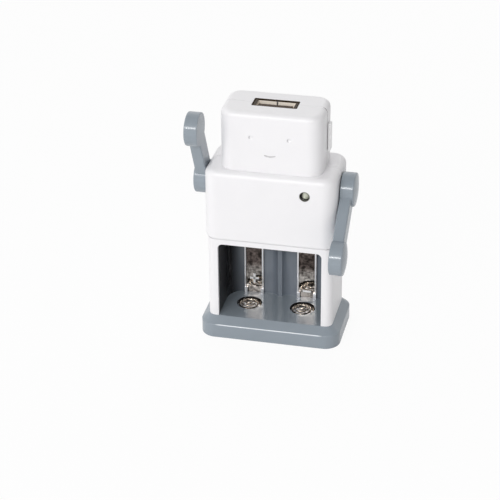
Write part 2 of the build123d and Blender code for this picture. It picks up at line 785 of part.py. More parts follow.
def board_screws():
    screws = []
    for side in SIDES:
        x = side * BOARD_SCREW_X
        head_y = (BOARD_FRONT - BOARD_SCREW_HEAD_HEIGHT, BOARD_FRONT)
        head = rod_y(x, BOARD_SCREW_Z, BOARD_SCREW_HEAD, *head_y)
        shank = rod_y(x, BOARD_SCREW_Z, BOARD_SCREW_RADIUS, BOARD_FRONT, HEAD_INNER_BACK - 0.6)
        screws.append(head + shank)
    return Compound(children=screws)


def usb_cavity(low, high):
    """Inside of the socket's shell between two heights."""
    cavity = block(USB_WIDTH - 2 * USB_WALL, USB_DEPTH - 2 * USB_WALL, low, high, 0.25)
    return Pos(0, USB_Y, 0) * cavity


def usb_shell():
    """Folded steel shell with a lip around its mouth and a seam in the rear wall."""
    low = USB_TOP - USB_LENGTH
    shell = Pos(0, USB_Y, 0) * block(USB_WIDTH, USB_DEPTH, low, USB_TOP, 0.5)
    shell += Pos(0, USB_Y, 0) * block(
        USB_SLOT_WIDTH - 2 * USB_LIP_GAP,
        USB_SLOT_DEPTH - 2 * USB_LIP_GAP,
        USB_TOP - USB_LIP_THICKNESS,
        USB_TOP,
        USB_SLOT_CORNER,
    )
    shell -= usb_cavity(low + USB_WALL, USB_TOP + 1)
    rear = USB_Y + USB_DEPTH / 2
    seam_high = USB_TOP - USB_LIP_THICKNESS
    seam_x = (-USB_SEAM / 2, USB_SEAM / 2)
    return shell - brick(seam_x, (rear - 2 * USB_WALL, rear + 1), (low + 2, seam_high))


def tongue_span():
    """Front and rear faces of the socket's tongue: it stands off centre."""
    rear = USB_Y - TONGUE_OFFSET
    return rear - TONGUE_THICKNESS, rear


def usb_tongue():
    low = USB_TOP - USB_LENGTH + USB_WALL
    blade = brick(
        (-TONGUE_WIDTH / 2, TONGUE_WIDTH / 2), tongue_span(), (low, USB_TOP - TONGUE_RECESS)
    )
    return usb_cavity(low, low + TONGUE_ROOT) + blade


def usb_contacts():
    """Four spring strips on the tongue's rear face."""
    rear = tongue_span()[1]
    low = USB_TOP - USB_LENGTH + USB_WALL + TONGUE_ROOT
    half = CONTACT_WIDTH / 2
    high = USB_TOP - TONGUE_RECESS - 1
    strips = [
        brick((x - half, x + half), (rear, rear + CONTACT_THICKNESS), (low, high)) for x in CONTACT_X
    ]
    return Compound(children=strips)


def boost_coil():
    """Drum choke on the back of the board."""
    start, low, high, end = [BOARD_REAR + step for step in COIL_STEPS]
    flange_low = rod_y(COIL_X, COIL_Z, COIL_FLANGE, start, low)
    winding = rod_y(COIL_X, COIL_Z, COIL_WINDING, low, high)
    flange_high = rod_y(COIL_X, COIL_Z, COIL_FLANGE, high, end)
    return flange_low + winding + flange_high


def converter_chip():
    """Small chip with its pins on two sides."""
    body = brick(CHIP_X, (BOARD_REAR + CHIP_Y[0], BOARD_REAR + CHIP_Y[1]), CHIP_Z)
    middle = sum(CHIP_X) / 2
    pin_z = (CHIP_Z[0] - CHIP_PIN_REACH, CHIP_Z[1] + CHIP_PIN_REACH)
    for step in range(CHIP_PINS):
        x = middle + CHIP_PIN_PITCH * (step - (CHIP_PINS - 1) / 2)
        pin_x = (x - CHIP_PIN_HALF, x + CHIP_PIN_HALF)
        body += brick(pin_x, (BOARD_REAR, BOARD_REAR + 2 * CHIP_Y[0]), pin_z)
    return body


def capacitors():
    """Three chip capacitors below the socket."""
    half = CAPACITOR_HALF
    y_pair = (BOARD_FRONT - CAPACITOR_THICKNESS, BOARD_FRONT)
    chips = [brick((x - half, x + half), y_pair, CAPACITOR_Z) for x in CAPACITOR_X]
    return Compound(children=chips)


def status_led():
    """Domed lamp set just below the chest's face."""
    dome_y = LED_TIP_Y + LED_RADIUS
    lamp = rod_y(LED_X, LED_Z, LED_RADIUS, dome_y, LED_REAR_Y)
    ball = Pos(LED_X, dome_y, LED_Z) * Sphere(LED_RADIUS)
    lamp += ball & rod_y(LED_X, LED_Z, LED_RADIUS + 1, dome_y - LED_RADIUS - 1, dome_y)
    return lamp + rod_y(LED_X, LED_Z, LED_RADIUS + LED_FLANGE, LED_FLANGE_Y, LED_REAR_Y)


def led_flex():
    """Flat ribbon from the lamp, under and up through the carrier, to the board."""
    half = FLEX_WIDTH / 2
    near_lamp = (LED_X - half, LED_X + half)
    near_board = (FLEX_BOARD_X, FLEX_BOARD_X + FLEX_WIDTH)
    under_z = (CARRIER_Z - 2 * FLEX_THICKNESS, CARRIER_Z - FLEX_THICKNESS)
    over_z = (FLEX_OVER_Z, FLEX_OVER_Z + FLEX_THICKNESS)
    rise_y = (FLEX_RISE_Y - FLEX_THICKNESS, FLEX_RISE_Y)
    lamp_y = (LED_REAR_Y, LED_REAR_Y + FLEX_THICKNESS)
    ribbon = brick(near_lamp, lamp_y, (LED_Z - FLEX_DOWN, under_z[1]))
    ribbon += brick(near_lamp, (LED_REAR_Y, FLEX_RISE_Y), under_z)
    ribbon += brick(near_lamp, rise_y, (under_z[0], over_z[1]))
    ribbon += brick((near_board[0], near_lamp[1]), (rise_y[0], FLEX_TURN_Y), over_z)
    ribbon += brick(near_board, (rise_y[0], BOARD_FRONT), over_z)
    board_y = (BOARD_FRONT - FLEX_THICKNESS, BOARD_FRONT)
    ribbon += brick(near_board, board_y, (over_z[0], FLEX_TOP_Z))
    return ribbon


def switch_body():
    """Slide switch beside the board, with three pins on the board."""
    body = brick(SWITCH_X, SWITCH_DEPTH_Y, (SWITCH_Z - SWITCH_HALF, SWITCH_Z + SWITCH_HALF))
    travel_low = SWITCH_Z - SLIDER_TRAVEL / 2 - STEM_HEIGHT / 2 - STEM_PLAY
    travel_high = SWITCH_Z + SLIDER_TRAVEL / 2 + STEM_HEIGHT / 2 + STEM_PLAY
    body -= brick(
        (SWITCH_POCKET_X, SWITCH_X[1] + 1),
        (SWITCH_Y - STEM_WIDTH / 2 - STEM_PLAY, SWITCH_Y + STEM_WIDTH / 2 + STEM_PLAY),
        (travel_low, travel_high),
    )
    for step in (-1, 0, 1):
        z = SWITCH_Z + step * SWITCH_PIN_PITCH
        pin_z = (z - SWITCH_PIN_HALF, z + SWITCH_PIN_HALF)
        body += brick((SWITCH_PIN_X, SWITCH_X[0] + 0.2), (BOARD_FRONT - 0.4, BOARD_FRONT), pin_z)
    return body


def switch_slider():
    """Upright bar that rides on the head's side, with a stem into the switch."""
    inner = HEAD_WIDTH / 2 + SLIDER_GAP
    middle = SWITCH_Z - SLIDER_TRAVEL / 2
    bar = brick(
        (inner, inner + SLIDER_PROUD),
        (SWITCH_Y - SLIDER_WIDTH / 2, SWITCH_Y + SLIDER_WIDTH / 2),
        (SWITCH_Z - SLIDER_HEIGHT / 2, SWITCH_Z + SLIDER_HEIGHT / 2),
    )
    bar = fillet(bar.edges().group_by(Axis.X)[-1], SLIDER_FILLET)
    stem = brick(
        (STEM_INNER_X, inner + 0.2),
        (SWITCH_Y - STEM_WIDTH / 2, SWITCH_Y + STEM_WIDTH / 2),
        (middle - STEM_HEIGHT / 2, middle + STEM_HEIGHT / 2),
    )
    return bar + stem


# ---- arms --------------------------------------------------------------------
def domed_disc(radius, rim, dome):
    """Disc about X from x = 0, its outer face slightly domed, edges softened."""
    ball_radius = (radius**2 + dome**2) / (2 * dome)
    disc = rod_x(0, 0, radius, 0, rim + dome)
    disc &= Pos(rim + dome - ball_radius, 0, 0) * Sphere(ball_radius)
    disc = fillet(disc.edges().sort_by(Axis.X)[-1], DISC_OUTER_EDGE)
    return fillet(disc.edges().sort_by(Axis.X)[0], DISC_INNER_EDGE)


def arm_forward():
    """Right arm pointing forwards, hub at the origin, inner face at x = 0."""
    hub = domed_disc(HUB_RADIUS, HUB_RIM, HUB_DOME)
    hand = Pos(0, -ARM_LENGTH, 0) * domed_disc(HAND_RADIUS, HAND_RIM, HAND_DOME)
    half = LINK_WIDTH / 2
    link = brick((0, LINK_THICKNESS), (-ARM_LENGTH, 0), (-half, half))
    link = fillet(link.edges().filter_by(Axis.Y), LINK_EDGE)
    shaft = rod_x(0, 0, SHAFT_RADIUS, SHAFT_END_X - ARM_INNER_X, 0.5)
    neck_low = CLIP_INNER_X - ARM_INNER_X
    neck = rod_x(0, 0, SHAFT_RADIUS + 1, neck_low, neck_low + CLIP_THICKNESS)
    neck -= rod_x(0, 0, CLIP_NECK, neck_low - 1, neck_low + CLIP_THICKNESS + 1)
    return hub + link + hand + (shaft - neck)


def at_shoulder(shape, raise_deg):
    return Pos(ARM_INNER_X, 0, ARM_Z) * Rot(-raise_deg, 0, 0) * shape


def pivot_clip():
    """Open spring ring in the shaft's neck, just inside the chest wall."""
    low = CLIP_INNER_X
    high = CLIP_INNER_X + CLIP_THICKNESS
    ring = rod_x(0, ARM_Z, CLIP_RADIUS, low, high) - rod_x(0, ARM_Z, CLIP_NECK, low - 1, high + 1)
    return ring - brick((low - 1, high + 1), (-CLIP_MOUTH, CLIP_MOUTH), (ARM_Z - 4, ARM_Z))


def friction_washer():
    low = CHEST_WIDTH / 2 + WASHER_GAP
    high = low + WASHER_THICKNESS
    ring = rod_x(0, ARM_Z, WASHER_RADIUS, low, high)
    return ring - rod_x(0, ARM_Z, SHAFT_RADIUS + 0.05, low - 1, high + 1)


# ---- all parts ---------------------------------------------------------------
PARTS = {
    "plinth": plinth(),
    "bottom_cover": bottom_cover(),
    "cover_screws": cover_screws(),
    "leg_frame": leg_frame(),
    "battery_tray": battery_tray(),
    "bay_side_walls": bay_side_walls(),
    "positive_spring": contact_spring(-1),
    "negative_spring": contact_spring(1),
    "positive_strip": contact_strip(-1),
    "negative_strip": contact_strip(1),
    "front_shell": front_shell(),
    "back_shell": back_shell(),
    "shell_screws": shell_screws(),
    "contact_carrier": contact_carrier(),
    "bridge_plate": bridge_plate(),
    "pickup_contacts": pickup_contacts(),
    "main_board": main_board(),
    "board_screws": board_screws(),
    "usb_shell": usb_shell(),
    "usb_tongue": usb_tongue(),
    "usb_contacts": usb_contacts(),
    "boost_coil": boost_coil(),
    "converter_chip": converter_chip(),
    "capacitors": capacitors(),
    "status_led": status_led(),
    "led_flex": led_flex(),
    "switch_body": switch_body(),
    "switch_slider": switch_slider(),
    "left_arm": mirrored(at_shoulder(arm_forward(), RAISED_ARM_DEG)),
    "left_pivot_clip": mirrored(pivot_clip()),
    "left_friction_washer": mirrored(friction_washer()),
    "right_arm": at_shoulder(arm_forward(), LOWERED_ARM_DEG),
    "right_pivot_clip": pivot_clip(),
    "right_friction_washer": friction_washer(),
}

os.makedirs("parts", exist_ok=True)
for name, shape in PARTS.items():
    export_step(shape, f"parts/{name}.step")

print(f"least gap of the springs' wire to itself: {spring_gap():.2f} mm")
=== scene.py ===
"""Looks for the robot-shaped USB charger: finishes, printed marks, light and camera."""
import json
from math import cos, pi, radians, sin

import bmesh
import bpy
from mathutils import Matrix, Vector


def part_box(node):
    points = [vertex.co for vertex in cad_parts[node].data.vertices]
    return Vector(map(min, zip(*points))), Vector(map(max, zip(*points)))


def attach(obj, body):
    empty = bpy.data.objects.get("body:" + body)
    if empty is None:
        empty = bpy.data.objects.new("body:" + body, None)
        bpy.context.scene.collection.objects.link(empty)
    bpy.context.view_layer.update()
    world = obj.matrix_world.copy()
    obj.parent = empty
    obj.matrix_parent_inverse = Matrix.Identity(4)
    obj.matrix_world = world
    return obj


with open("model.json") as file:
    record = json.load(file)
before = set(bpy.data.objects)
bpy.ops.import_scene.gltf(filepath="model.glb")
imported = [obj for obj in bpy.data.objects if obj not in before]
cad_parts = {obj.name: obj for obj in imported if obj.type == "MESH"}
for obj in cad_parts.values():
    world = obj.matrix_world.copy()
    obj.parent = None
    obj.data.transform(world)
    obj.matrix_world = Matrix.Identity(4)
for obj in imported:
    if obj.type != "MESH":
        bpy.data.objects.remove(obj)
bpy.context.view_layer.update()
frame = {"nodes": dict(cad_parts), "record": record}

MM = 0.001

# ---- the photograph's camera, fitted to the object's edges; metres -----------------
CAMERA_AZIMUTH = radians(13.22)
CAMERA_ELEVATION = radians(28.62)
CAMERA_ROLL = radians(-0.55)
CAMERA_AIM = Vector((-0.00901, 0.0, 0.02746))
CAMERA_DISTANCE = 0.61168
CAMERA_CLIP_START = 0.01
FOCAL_PIXELS = 1817.5
PHOTO_PIXELS = 500
SENSOR_MM = 36.0

# ---- light: name, azimuth, elevation, distance, width, height (m), power (W) -------
LAMPS = (
    ("key", -6, 31, 0.9, 0.9, 0.26, 1.95),
    ("spark", -13, 30, 0.9, 0.3, 0.05, 1.2),
    ("rear", 180, 42, 1.0, 1.8, 0.9, 1.9),
)
LAMP_AIM = Vector((0, 0, 0.04))
ROOM_LEVELS = ((0.45, 1.0), (0.95, 0.46))  # height on the world's ball, brightness
RIGHT_FALL_FROM = 0.05
RIGHT_FALL_TO = 0.7
RIGHT_LEVEL = 0.3
FLOOR_HALF = 2.0
FLOOR_PAPER = 0.9
FLOOR_WHITE_SHARE = 0.93
FLOOR_GLOSSY_SHARE = 0.5

# ---- colours, linear ---------------------------------------------------------------
WHITE_ABS = (0.86, 0.85, 0.865)
GREY_ABS = (0.275, 0.315, 0.355)
BAY_GREY = (0.17, 0.195, 0.23)
# near black: colour of the bay's side walls, and the painted shade at the back wall's left corner
BAY_BLACK_AND_SHADE = (0.012, 0.011, 0.012)
# painted highlight along the plinth's front crease
CREASE_PAINTED_HIGHLIGHT = (0.80, 0.84, 0.88)
# painted shade in the parting groove, the smile and the left edge of each eye
GROOVE_PAINTED_SHADE = (0.16, 0.15, 0.15)
SMILE_PAINTED_SHADE = (0.60, 0.59, 0.60)
EYE_PAINTED_SHADE = (0.60, 0.59, 0.61)
# painted shade: inside the spring wells and in the socket's seam
PAINTED_SHADE_BLACK = (0.015, 0.012, 0.011)
STEEL_CREAM = (1.0, 0.92, 0.82)
# painted shade on the socket's lip
STEEL_LIP_PAINTED_SHADE = (0.045, 0.028, 0.015)
STRIP_LIP = (0.86, 0.86, 0.88)
# painted dark reflection on the strip's mirror, above the lighter band
STRIP_PAINTED_DARK_REFLECTION = ((0.02, 0.016, 0.014), (0.16, 0.13, 0.12))
STRIP_CLEAR = ((0.06, 0.055, 0.05), (0.58, 0.54, 0.50))
SPRING_BROWN = (0.16, 0.12, 0.09)
# painted glints on the spring wire
SPRING_PAINTED_GLINT = (0.98, 0.88, 0.76)
LENS_CLEAR = ((0.62, 0.64, 0.52), (0.78, 0.80, 0.67))
# painted shade on the lens's left side
LENS_PAINTED_SHADE = (0.07, 0.065, 0.06)
BOARD_GREEN = ((0.01, 0.06, 0.025), (0.02, 0.10, 0.04))

# ---- satin mouldings: features per metre, and the grain's height in metres ---------
CLOUD_SCALE = 90
GLOSS_SCALE = 260
GLOSS_SPREAD = 0.02
GRAIN_SCALE = 9000
GRAIN_STRENGTH = 0.04
GRAIN_HEIGHT = 0.00002
ABS_IOR = 1.53

# ---- places on the part, in its own frame, millimetres -----------------------------
WELL_X = 9.2
WELL_Y = -0.5
WELL_RADIUS = 4.32
WELL_Z = (4.5, 7.22)
CREASE_X = (-16.8, 17.0)
CREASE_Y = (-12.8, -13.0)
CREASE_Z = (4.86, 5.04)
GROOVE_BOX = (("X", 15.0, 20.0), ("Y", -0.12, 0.12), ("Z", 61.9, 82.0))
# smile groove, darkened with painted shade
SMILE_BOX = (("X", -2.5, 2.5), ("Y", -9.33, -8.0), ("Z", 66.0, 69.0))
EYE_X = 6.3
# left edge of each eye, where shade is painted, from its middle
EYE_SHADE_X = (-0.9, -0.3)
EYE_SHADE_BOX = (("Y", -9.31, -8.0), ("Z", 72.0, 75.0))
# painted shade on the back wall towards its left corner: where it starts, where it is full
BAY_SHADE_FADE = (11.9, 16.6)
SOCKET_LIP_Z = (81.56, 81.72)
SOCKET_SEAM_X = (-0.2, 0.2)
SOCKET_BACK_Y = (2.2, 2.3)
STRIP_CLEAR_Z = (10.6, 13.5)
STRIP_LIP_Y = (6.75, 6.6)
LED_X = 11.9
LED_Z = 55.5
LENS_PAINTED_SHADE_X = (-0.2, -1.1)

# ---- pieces of the scene, millimetres ----------------------------------------------
MARK_FACE_Y = 7.15
MARK_THICKNESS = 0.12
MARK_EDGE_SHARE = 0.3
PLUS_Z = 12.7
PLUS_BARS = ((3.1, 0.75), (0.75, 3.5))  # width, height
MINUS_Z = 9.6
MINUS_BAR = (2.9, 0.7)
# dark sleeve of painted shade in the status light's hole
SHADE_SLEEVE_SIDES = 64
SHADE_SLEEVE_PROFILE = (  # radius, y
    (1.53, -10.9),
    (1.53, -11.55),
    (1.60, -11.7),
    (1.68, -11.7),
    (1.72, -11.6),
    (1.72, -10.9),
)
SLOT_WIDTH = 15.0
SLOT_DEPTH = 6.0
SLOT_Y = -0.1
SLOT_CORNER = 0.4
# dark frame of painted shade round the socket's mouth
SHADE_FRAME_LEAST_CORNER = 0.05
SHADE_FRAME_CORNER_STEPS = 6
SHADE_FRAME_PROFILE = (  # inset from the slot's edge, z
    (0.02, 82.03),
    (0.02, 82.14),
    (0.10, 82.17),
    (0.34, 82.17),
    (0.42, 82.14),
    (0.42, 82.03),
)


# ---- scene helpers -----------------------------------------------------------------
def put_in_scene(name, data):
    """New object for a mesh, lamp or camera."""
    placed = bpy.data.objects.new(name, data)
    bpy.context.scene.collection.objects.link(placed)
    return placed


def towards(azimuth, elevation):
    """Unit vector from the object to a viewer or lamp; azimuth 0 is in front, at -Y."""
    return Vector((sin(azimuth) * cos(elevation), -cos(azimuth) * cos(elevation), sin(elevation)))


def bare_tree(owner, output_kind):
    """Gives a material or world an empty node tree with its output."""
    owner.use_nodes = True
    owner.node_tree.nodes.clear()
    return owner.node_tree.nodes.new(output_kind)


# ---- node helpers ------------------------------------------------------------------
def new_material(name):
    """Node material with a Principled shader."""
    material = bpy.data.materials.new(name)
    output = bare_tree(material, "ShaderNodeOutputMaterial")
    shader = material.node_tree.nodes.new("ShaderNodeBsdfPrincipled")
    material.node_tree.links.new(shader.outputs["BSDF"], output.inputs["Surface"])
    return material, shader


def object_coordinates(material):
    """Places on the part in its own frame, metres."""
    return material.node_tree.nodes.new("ShaderNodeTexCoord").outputs["Object"]


def split_axes(material):
    """X, Y and Z of the place on the part, metres."""
    split = material.node_tree.nodes.new("ShaderNodeSeparateXYZ")
    material.node_tree.links.new(object_coordinates(material), split.inputs[0])
    return split.outputs


def map_range(owner, value, source, target):
    """Moves a value from one range of two numbers to another, and stops at its ends."""
    node = owner.node_tree.nodes.new("ShaderNodeMapRange")
    names = ("From Min", "From Max", "To Min", "To Max")
    for name, number in zip(names, (*source, *target)):
        node.inputs[name].default_value = number
    owner.node_tree.links.new(value, node.inputs["Value"])
    return node.outputs["Result"]


def along(material, axis, start, end):
    """Goes from 0 to 1 along an axis of the part between two places in millimetres."""
    return map_range(material, split_axes(material)[axis], (start * MM, end * MM), (0.0, 1.0))


def spread(material, factor, low, high):
    """Turns a factor from 0 to 1 into a number from low to high."""
    return map_range(material, factor, (0.0, 1.0), (low, high))


def combine(owner, operation, first, second):
    """One step of arithmetic on two values, each a number or a node's output."""
    node = owner.node_tree.nodes.new("ShaderNodeMath")
    node.operation = operation
    for socket, value in zip(node.inputs, (first, second)):
        if isinstance(value, (int, float)):
            socket.default_value = value
        else:
            owner.node_tree.links.new(value, socket)
    return node.outputs[0]


def blend_colors(material, factor, first, second):
    """First colour where the factor is 0, second where it is 1."""
    node = material.node_tree.nodes.new("ShaderNodeMix")
    node.data_type = "RGBA"
    link = material.node_tree.links.new
    link(factor, node.inputs[0])
    for socket, value in ((node.inputs[6], first), (node.inputs[7], second)):
        if isinstance(value, tuple):
            socket.default_value = (*value, 1.0)
        else:
            link(value, socket)
    return node.outputs[2]


def noise(material, scale, detail=2.0, roughness=0.5):
    """Noise over the part, scale in features per metre."""
    texture = material.node_tree.nodes.new("ShaderNodeTexNoise")
    texture.inputs["Scale"].default_value = scale
    texture.inputs["Detail"].default_value = detail
    texture.inputs["Roughness"].default_value = roughness
    material.node_tree.links.new(object_coordinates(material), texture.inputs["Vector"])
    return texture.outputs["Fac"]


def ramp(material, factor, low, high, start=0.35, end=0.65):
    """Colour between two values as the factor goes from start to end."""
    node = material.node_tree.nodes.new("ShaderNodeValToRGB")
    rows = ((start, low), (end, high))
    for element, (position, color) in zip(node.color_ramp.elements, rows):
        element.position = position
        element.color = (*color, 1.0)
    material.node_tree.links.new(factor, node.inputs["Fac"])
    return node.outputs["Color"]


def bump(material, shader, height, strength, distance):
    """Relief from a height factor, distance in metres."""
    node = material.node_tree.nodes.new("ShaderNodeBump")
    node.inputs["Strength"].default_value = strength
    node.inputs["Distance"].default_value = distance
    material.node_tree.links.new(height, node.inputs["Height"])
    material.node_tree.links.new(node.outputs["Normal"], shader.inputs["Normal"])


def shade(color, factor):
    """Lighter or darker copy of a colour, up to full white."""
    return tuple(min(1.0, channel * factor) for channel in color)


def between(material, axis, low, high, edge):
    """1 between two places along an axis, with soft edges, else 0; millimetres."""
    rise = along(material, axis, low - edge, low)
    fall = along(material, axis, high + edge, high)
    return combine(material, "MULTIPLY", rise, fall)


def inside_box(material, ranges, edge):
    """1 inside a box given as (axis, low, high) rows in millimetres."""
    factor = None
    for axis, low, high in ranges:
        span = between(material, axis, low, high, edge)
        factor = span if factor is None else combine(material, "MULTIPLY", factor, span)
    return factor


# ---- mouldings ---------------------------------------------------------------------
def satin_plastic(name, color, roughness, mottle):
    """Satin moulding: faint mottle, fine spark-eroded grain, slightly uneven gloss."""
    material, shader = new_material(name)
    cloud = noise(material, CLOUD_SCALE, 3.0)
    tint = ramp(material, cloud, shade(color, 1 - mottle), shade(color, 1 + mottle))
    gloss = noise(material, GLOSS_SCALE, 3.0)
    wear = spread(material, gloss, roughness - GLOSS_SPREAD, roughness + GLOSS_SPREAD)
    material.node_tree.links.new(wear, shader.inputs["Roughness"])
    bump(material, shader, noise(material, GRAIN_SCALE, 1.0), GRAIN_STRENGTH, GRAIN_HEIGHT)
    shader.inputs["IOR"].default_value = ABS_IOR
    return material, shader, tint


def moulded_plastic(name, color, roughness, mottle=0.015):
    """Satin moulding in one colour."""
    material, shader, tint = satin_plastic(name, color, roughness, mottle)
    material.node_tree.links.new(tint, shader.inputs["Base Color"])
    return material


def matt_plastic(name, color):
    """Matt finish at the socket's mouth, for the insert and for the frame of painted shade: even,
    with next to no shine.
    """
    material, shader = new_material(name)
    shader.inputs["Base Color"].default_value = (*color, 1.0)
    shader.inputs["Roughness"].default_value = 0.6
    shader.inputs["Specular IOR Level"].default_value = 0.08
    return material


def spring_well_shade(material):
    """1 inside the two round wells of the bay's floor, below their rims, where shade is painted."""
    axes = split_axes(material)
    across = combine(material, "ABSOLUTE", axes["X"], 0.0)
    from_middle = combine(material, "SUBTRACT", across, WELL_X * MM)
    from_front = combine(material, "SUBTRACT", axes["Y"], WELL_Y * MM)
    square = combine(
        material,
        "ADD",
        combine(material, "MULTIPLY", from_middle, from_middle),
        combine(material, "MULTIPLY", from_front, from_front),
    )
    inside = combine(material, "LESS_THAN", square, (WELL_RADIUS * MM) ** 2)
    return combine(material, "MULTIPLY", inside, between(material, "Z", *WELL_Z, edge=0.04))


def front_crease_highlight(material):
    """1 on the crease along the plinth's front, where a highlight is painted."""
    front = along(material, "Y", *CREASE_Y)
    line = combine(material, "MULTIPLY", front, between(material, "Z", *CREASE_Z, edge=0.12))
    return combine(material, "MULTIPLY", line, between(material, "X", *CREASE_X, edge=1.6))


def plinth_plastic():
    """Grey moulding with painted shade in the spring wells and a painted highlight along the front
    crease.
    """
    material, shader, tint = satin_plastic("plinth_grey_abs", GREY_ABS, 0.17, 0.015)
    # painted highlight along the front crease
    color = blend_colors(material, front_crease_highlight(material), tint, CREASE_PAINTED_HIGHLIGHT)
    # painted shade inside the spring wells
    color = blend_colors(material, spring_well_shade(material), color, PAINTED_SHADE_BLACK)
    material.node_tree.links.new(color, shader.inputs["Base Color"])
    return material


def painted_eye_shade(material):
    """1 on the left edge of either eye's hollow, where shade is painted."""
    factor = None
    for middle in (-EYE_X, EYE_X):
        edge_x = ("X", middle + EYE_SHADE_X[0], middle + EYE_SHADE_X[1])
        eye = inside_box(material, (edge_x, *EYE_SHADE_BOX), 0.05)
        factor = eye if factor is None else combine(material, "MAXIMUM", factor, eye)
    return factor


def shell_plastic():
    """White moulding, with painted shade in the parting groove, the eyes and the smile."""
    material, shader, color = satin_plastic("white_shell_abs", WHITE_ABS, 0.34, 0.006)
    # painted shade in the groove, the smile and the eyes
    marks = (
        (inside_box(material, GROOVE_BOX, 0.05), GROOVE_PAINTED_SHADE),
        (inside_box(material, SMILE_BOX, 0.04), SMILE_PAINTED_SHADE),
        (painted_eye_shade(material), EYE_PAINTED_SHADE),
    )
    for factor, grey in marks:
        color = blend_colors(material, factor, color, grey)
    material.node_tree.links.new(color, shader.inputs["Base Color"])
    return material


def bay_plastic():
    """Back wall of the bay: grey, with painted shade fading to black towards its left corner."""
    material, shader, tint = satin_plastic("bay_grey_abs", BAY_GREY, 0.22, 0.03)
    # painted shade towards the left corner
    left = along(material, "X", -BAY_SHADE_FADE[0], -BAY_SHADE_FADE[1])
    color = blend_colors(material, left, tint, BAY_BLACK_AND_SHADE)
    material.node_tree.links.new(color, shader.inputs["Base Color"])
    return material


# ---- metals, lens and board --------------------------------------------------------
def socket_metal():
    """Socket's steel: pale, with painted shade at the lip and in the seam."""
    material, shader = new_material("socket_steel")
    link = material.node_tree.links.new
    cloud = noise(material, 500, 3.0)
    pale = ramp(material, cloud, shade(STEEL_CREAM, 0.97), STEEL_CREAM)
    lip = along(material, "Z", *SOCKET_LIP_Z)
    middle = between(material, "X", *SOCKET_SEAM_X, edge=0.05)
    seam = combine(material, "MULTIPLY", middle, along(material, "Y", *SOCKET_BACK_Y))
    # painted shade at the lip, then in the seam
    color = blend_colors(material, lip, pale, STEEL_LIP_PAINTED_SHADE)
    link(blend_colors(material, seam, color, PAINTED_SHADE_BLACK), shader.inputs["Base Color"])
    link(spread(material, cloud, 0.42, 0.5), shader.inputs["Roughness"])
    shader.inputs["Specular IOR Level"].default_value = 0.2
    return material


def strip_nickel():
    """Contact strip: bright lips, a crumpled mirror with painted dark reflection above, a lighter
    band of it near the floor.
    """
    material, shader = new_material("strip_nickel")
    link = material.node_tree.links.new
    cloud = noise(material, 650, 5.0, 0.65)
    dark = ramp(material, cloud, *STRIP_PAINTED_DARK_REFLECTION, 0.38, 0.68)
    clear = ramp(material, cloud, *STRIP_CLEAR, 0.36, 0.66)
    # painted dark reflection above and below the lighter band
    web = blend_colors(material, between(material, "Z", *STRIP_CLEAR_Z, edge=5.5), dark, clear)
    lip = along(material, "Y", *STRIP_LIP_Y)
    link(blend_colors(material, lip, web, STRIP_LIP), shader.inputs["Base Color"])
    link(spread(material, lip, 0.07, 0.38), shader.inputs["Roughness"])
    shader.inputs["Metallic"].default_value = 1.0
    bump(material, shader, noise(material, 420, 2.0), 0.5, 0.00006)
    return material


def plated_metal(name, color, roughness):
    """Plated metal with faint tarnish."""
    material, shader = new_material(name)
    link = material.node_tree.links.new
    cloud = noise(material, 700, 4.0, 0.6)
    link(ramp(material, cloud, shade(color, 0.92), shade(color, 1.08)), shader.inputs["Base Color"])
    link(spread(material, cloud, roughness, roughness + 0.1), shader.inputs["Roughness"])
    shader.inputs["Metallic"].default_value = 1.0
    return material


def spring_wire():
    """Nickel wire, mottled dark brown and cream; the cream patches are painted glints."""
    material, shader = new_material("spring_nickel")
    link = material.node_tree.links.new
    cloud = noise(material, 420, 2.0)
    # dark brown patches and painted glints
    link(ramp(material, cloud, SPRING_BROWN, SPRING_PAINTED_GLINT, 0.42, 0.60), shader.inputs["Base Color"])
    link(spread(material, cloud, 0.2, 0.12), shader.inputs["Roughness"])
    shader.inputs["Metallic"].default_value = 1.0
    return material


def lamp_lens():
    """Smoky lens of the status light, with painted shade on its left side."""
    material, shader = new_material("lamp_lens")
    clear = ramp(material, noise(material, 1500, 2.0), *LENS_CLEAR)
    # painted shade on the left side of the lens
    side = along(material, "X", LED_X + LENS_PAINTED_SHADE_X[0], LED_X + LENS_PAINTED_SHADE_X[1])
    color = blend_colors(material, side, clear, LENS_PAINTED_SHADE)
    material.node_tree.links.new(color, shader.inputs["Base Color"])
    shader.inputs["Roughness"].default_value = 0.08
    shader.inputs["Transmission Weight"].default_value = 0.2
    shader.inputs["IOR"].default_value = 1.5
    return material


def board_green():
    """Solder mask of the circuit board."""
    material, shader = new_material("board_green")
    tint = ramp(material, noise(material, 400, 3.0), *BOARD_GREEN)
    material.node_tree.links.new(tint, shader.inputs["Base Color"])
    shader.inputs["Roughness"].default_value = 0.3
    return material


